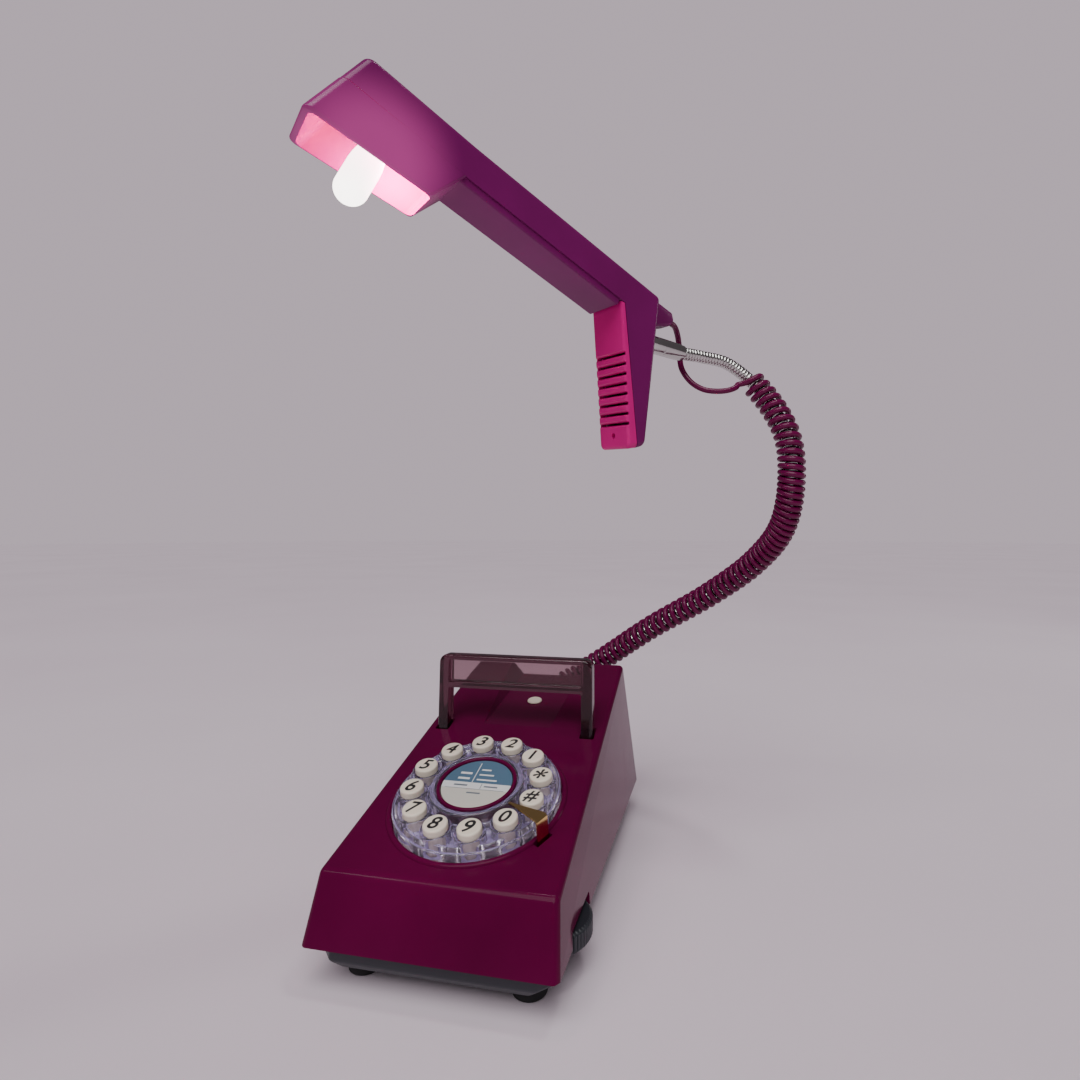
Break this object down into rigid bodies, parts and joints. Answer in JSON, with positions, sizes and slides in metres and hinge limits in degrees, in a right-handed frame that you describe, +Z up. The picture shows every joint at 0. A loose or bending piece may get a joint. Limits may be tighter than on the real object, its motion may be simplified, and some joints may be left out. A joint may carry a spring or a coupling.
{
  "type": "telephone desk lamp",
  "caption": "Wedge-bodied push-button telephone made into a desk lamp: its handset is held up by a flexible neck wound with a curly cord, with a bulb in the earpiece.",
  "frame": {"origin": "on the surface that the feet stand on, under the middle of the object's box with the cord left out", "axes": "+X to the right as seen by someone using the keys, +Y from the front of the base to its rear, +Z up"},
  "size_m": [0.2178, 0.2611, 0.3693],
  "materials": {
    "deck_plastic": "glossy plum moulding with fine wear",
    "handset_plastic": "glossy plum moulding, slightly more purple than the base",
    "black_plastic": "fine grained black moulding",
    "soft_rubber": "matt black rubber",
    "cream_plastic": "aged cream moulding, softly glossy",
    "clear_plastic": "clear polished moulding",
    "smoked_plastic": "smoky purple clear moulding",
    "dial_plastic": "lilac grey painted moulding",
    "label_paper": "printed card, blue above and cream below",
    "gilt_brass": "polished gilt strip",
    "bright_chrome": "bright chrome",
    "plain_steel": "plain zinc plated steel",
    "circuit_board": "green lacquered laminate",
    "curly_cord": "shiny plum vinyl",
    "frosted_glass": "frosted white glass, lit",
    "holder_porcelain": "white porcelain"
  },
  "bodies": {
    "base": {"base_cover": "deck_plastic", "channel_plug": "cream_plastic", "base_plate": "black_plastic", "ballast_slab": "plain_steel", "foot_front_left": "soft_rubber", "foot_front_right": "soft_rubber", "foot_rear_left": "soft_rubber", "foot_rear_right": "soft_rubber", "plate_screw_1": "plain_steel", "plate_screw_2": "plain_steel", "main_board": "circuit_board", "tone_sounder": "black_plastic", "hook_switch": "black_plastic", "hook_spring": "plain_steel", "volume_pot": "plain_steel", "dial_plate": "dial_plastic", "dial_bezel": "clear_plastic", "hub_ring": "clear_plastic", "label_ring": "deck_plastic", "label_card": "label_paper", "keypad_mat": "soft_rubber", "finger_stop": "gilt_brass", "neck_socket": "bright_chrome", "neck_locknut": "plain_steel", "cord_grommet": "soft_rubber", "mains_gland": "soft_rubber", "neck_hose_0": "bright_chrome", "cord_coil_0": "curly_cord", "cord_lead": "curly_cord"},
    "cradle": {"cradle_frame": "smoked_plastic", "hook_lever": "black_plastic"},
    "wheel": {"volume_wheel": "black_plastic"},
    "key_body_1": {"key_1": "cream_plastic"},
    "key_body_2": {"key_2": "cream_plastic"},
    "key_body_3": {"key_3": "cream_plastic"},
    "key_body_4": {"key_4": "cream_plastic"},
    "key_body_5": {"key_5": "cream_plastic"},
    "key_body_6": {"key_6": "cream_plastic"},
    "key_body_7": {"key_7": "cream_plastic"},
    "key_body_8": {"key_8": "cream_plastic"},
    "key_body_9": {"key_9": "cream_plastic"},
    "key_body_0": {"key_0": "cream_plastic"},
    "key_body_star": {"key_star": "cream_plastic"},
    "key_body_hash": {"key_hash": "cream_plastic"},
    "neck_lower": {"neck_hose_1": "bright_chrome", "cord_coil_1": "curly_cord"},
    "neck_middle": {"neck_hose_2": "bright_chrome", "cord_coil_2": "curly_cord"},
    "neck_upper": {"neck_hose_3": "bright_chrome", "cord_coil_3": "curly_cord"},
    "handset": {"neck_hose_4": "bright_chrome", "cord_coil_4": "curly_cord", "handset_back": "handset_plastic", "handset_front": "handset_plastic", "mouthpiece": "handset_plastic", "neck_ferrule": "bright_chrome", "cord_boot": "handset_plastic", "cord_loop": "curly_cord", "lamp_holder": "holder_porcelain", "bulb_globe": "frosted_glass"}
  },
  "joints": [
    {"name": "neck_swing", "type": "hinge", "parent": "base", "child": "neck_lower", "pos_m": [-0.03723, 0.12207, 0.07744], "axis": [0, 0, 1], "range_deg": [-20, 20]},
    {"name": "neck_lift", "type": "hinge", "parent": "neck_lower", "child": "neck_middle", "pos_m": [0.03273, 0.10525, 0.12283], "axis": [-0.42, -0.9075, 0], "range_deg": [-20, 20]},
    {"name": "neck_bend", "type": "hinge", "parent": "neck_middle", "child": "neck_upper", "pos_m": [0.09182, 0.06363, 0.16825], "axis": [-0.7691, -0.6391, 0], "range_deg": [-20, 20]},
    {"name": "head_tilt", "type": "hinge", "parent": "neck_upper", "child": "handset", "pos_m": [0.09868, 0.04869, 0.23847], "axis": [-0.6019, 0.6721, -0.4313], "range_deg": [-20, 20]},
    {"name": "cradle_press", "type": "slide", "parent": "base", "child": "cradle", "axis": [0, 0, 1], "range_m": [-0.004, 0], "stiffness_N_per_m": 80, "springref_m": 0.006, "deforming": ["hook_spring"]},
    {"name": "volume_turn", "type": "hinge", "parent": "base", "child": "wheel", "pos_m": [-0.01007, -0.04762, 0.0165], "axis": [0, 0, 1], "range_deg": [-135, 135]},
    {"name": "key_press_1", "type": "slide", "parent": "base", "child": "key_body_1", "axis": [0, -0.2857, 0.9583], "range_m": [-0.0015, 0], "stiffness_N_per_m": 60, "springref_m": 0.0015},
    {"name": "key_press_2", "type": "slide", "parent": "base", "child": "key_body_2", "axis": [0, -0.2857, 0.9583], "range_m": [-0.0015, 0], "stiffness_N_per_m": 60, "springref_m": 0.0015},
    {"name": "key_press_3", "type": "slide", "parent": "base", "child": "key_body_3", "axis": [0, -0.2857, 0.9583], "range_m": [-0.0015, 0], "stiffness_N_per_m": 60, "springref_m": 0.0015},
    {"name": "key_press_4", "type": "slide", "parent": "base", "child": "key_body_4", "axis": [0, -0.2857, 0.9583], "range_m": [-0.0015, 0], "stiffness_N_per_m": 60, "springref_m": 0.0015},
    {"name": "key_press_5", "type": "slide", "parent": "base", "child": "key_body_5", "axis": [0, -0.2857, 0.9583], "range_m": [-0.0015, 0], "stiffness_N_per_m": 60, "springref_m": 0.0015},
    {"name": "key_press_6", "type": "slide", "parent": "base", "child": "key_body_6", "axis": [0, -0.2857, 0.9583], "range_m": [-0.0015, 0], "stiffness_N_per_m": 60, "springref_m": 0.0015},
    {"name": "key_press_7", "type": "slide", "parent": "base", "child": "key_body_7", "axis": [0, -0.2857, 0.9583], "range_m": [-0.0015, 0], "stiffness_N_per_m": 60, "springref_m": 0.0015},
    {"name": "key_press_8", "type": "slide", "parent": "base", "child": "key_body_8", "axis": [0, -0.2857, 0.9583], "range_m": [-0.0015, 0], "stiffness_N_per_m": 60, "springref_m": 0.0015},
    {"name": "key_press_9", "type": "slide", "parent": "base", "child": "key_body_9", "axis": [0, -0.2857, 0.9583], "range_m": [-0.0015, 0], "stiffness_N_per_m": 60, "springref_m": 0.0015},
    {"name": "key_press_0", "type": "slide", "parent": "base", "child": "key_body_0", "axis": [0, -0.2857, 0.9583], "range_m": [-0.0015, 0], "stiffness_N_per_m": 60, "springref_m": 0.0015},
    {"name": "key_press_star", "type": "slide", "parent": "base", "child": "key_body_star", "axis": [0, -0.2857, 0.9583], "range_m": [-0.0015, 0], "stiffness_N_per_m": 60, "springref_m": 0.0015},
    {"name": "key_press_hash", "type": "slide", "parent": "base", "child": "key_body_hash", "axis": [0, -0.2857, 0.9583], "range_m": [-0.0015, 0], "stiffness_N_per_m": 60, "springref_m": 0.0015}
  ]
}
